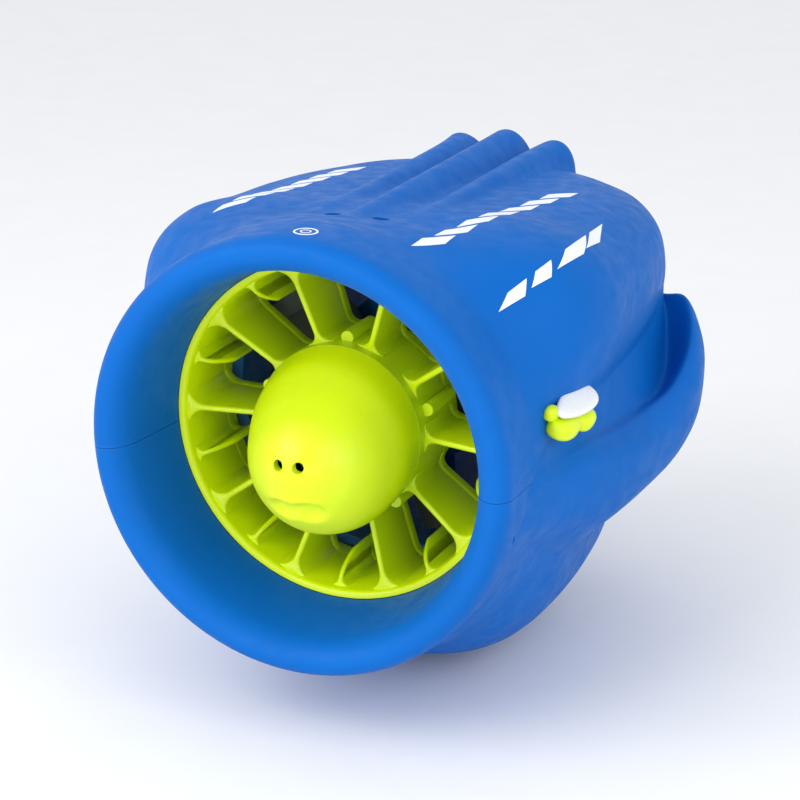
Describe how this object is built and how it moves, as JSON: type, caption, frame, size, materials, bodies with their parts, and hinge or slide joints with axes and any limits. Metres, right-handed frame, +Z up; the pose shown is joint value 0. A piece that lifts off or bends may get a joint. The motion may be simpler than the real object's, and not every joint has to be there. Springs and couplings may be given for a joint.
{
  "type": "underwater scooter",
  "caption": "Hand-held underwater scooter: ducted propeller behind a battery pod, guide vanes in a tail ring, side handles with thumb levers, removable nose cap.",
  "frame": {"origin": "middle of the flat keel face that the scooter rests on, under the duct axis", "axes": "+Z up, +Y forward to the nose, +X to the rider's right; the duct axis is parallel to Y at Z = 179 mm"},
  "size_m": [0.3532, 0.3905, 0.316],
  "materials": {
    "blue_shell": "gloss moulded blue, fine moulding texture",
    "yellow_moulding": "semi-gloss yellow-green moulding",
    "white_plastic": "gloss white moulding",
    "steel": "stainless, brushed",
    "navy_plastic": "dark blue moulding, satin",
    "grey_plastic": "glass-filled nylon, satin",
    "rubber": "matte black rubber",
    "aluminium": "turned aluminium",
    "magnet": "nickel-plated magnet",
    "copper": "enamelled copper windings and plated contacts",
    "circuit_board": "green circuit board",
    "battery_wrap": "black shrink wrap",
    "switch_glass": "glass capsule"
  },
  "bodies": {
    "hull": {"upper_shell": "blue_shell", "lower_shell": "blue_shell", "top_screws": "steel", "shell_screws": "steel", "handle_screws": "steel", "duct_liner": "navy_plastic", "rear_guide_vanes": "yellow_moulding", "front_guide_vanes": "yellow_moulding", "vane_screws": "steel", "tail_dome": "yellow_moulding", "dome_screws": "steel", "tail_bush": "grey_plastic", "shaft_seal": "rubber", "shaft_bearing": "steel", "motor_can": "aluminium", "motor_magnets": "magnet", "motor_mounts": "navy_plastic", "pod_tube": "navy_plastic", "pod_rear_cap": "navy_plastic", "control_board": "circuit_board", "battery_pack": "battery_wrap", "battery_contacts": "copper", "wire_harness": "rubber", "intake_grille": "navy_plastic", "handle_right": "blue_shell", "handle_left": "blue_shell", "switch_block_right": "yellow_moulding", "lever_pin_right": "steel", "reed_switch_right": "switch_glass", "lever_spring_right": "steel", "switch_block_left": "yellow_moulding", "lever_pin_left": "steel", "reed_switch_left": "switch_glass", "lever_spring_left": "steel"},
    "rotor": {"propeller": "grey_plastic", "propeller_nut": "steel", "drive_shaft": "steel", "motor_armature": "copper"},
    "lever_right": {"thumb_lever_right": "white_plastic", "lever_magnet_right": "magnet"},
    "lever_left": {"thumb_lever_left": "white_plastic", "lever_magnet_left": "magnet"},
    "nose_ring": {"nose_seal": "rubber"},
    "nose_lid": {"nose_cap": "navy_plastic"}
  },
  "joints": [
    {"name": "propeller_spin", "type": "hinge", "parent": "hull", "child": "rotor", "pos_m": [0, -0.048, 0.179], "axis": [0, 1, 0], "continuous": true},
    {"name": "lever_right_press", "type": "hinge", "parent": "hull", "child": "lever_right", "pos_m": [0.153, -0.115, 0.1965], "axis": [1, 0, 0], "range_deg": [-4, 0], "stiffness_Nm_per_rad": 0.3, "deforming": ["lever_spring_right"]},
    {"name": "lever_left_press", "type": "hinge", "parent": "hull", "child": "lever_left", "pos_m": [-0.153, -0.115, 0.1965], "axis": [1, 0, 0], "range_deg": [-4, 0], "stiffness_Nm_per_rad": 0.3, "deforming": ["lever_spring_left"]},
    {"name": "nose_slide", "type": "slide", "parent": "hull", "child": "nose_ring", "axis": [0, 1, 0], "range_m": [0, 0.06]},
    {"name": "nose_twist", "type": "hinge", "parent": "nose_ring", "child": "nose_lid", "pos_m": [0, 0.142, 0.179], "axis": [0, 1, 0], "range_deg": [0, 30]}
  ]
}
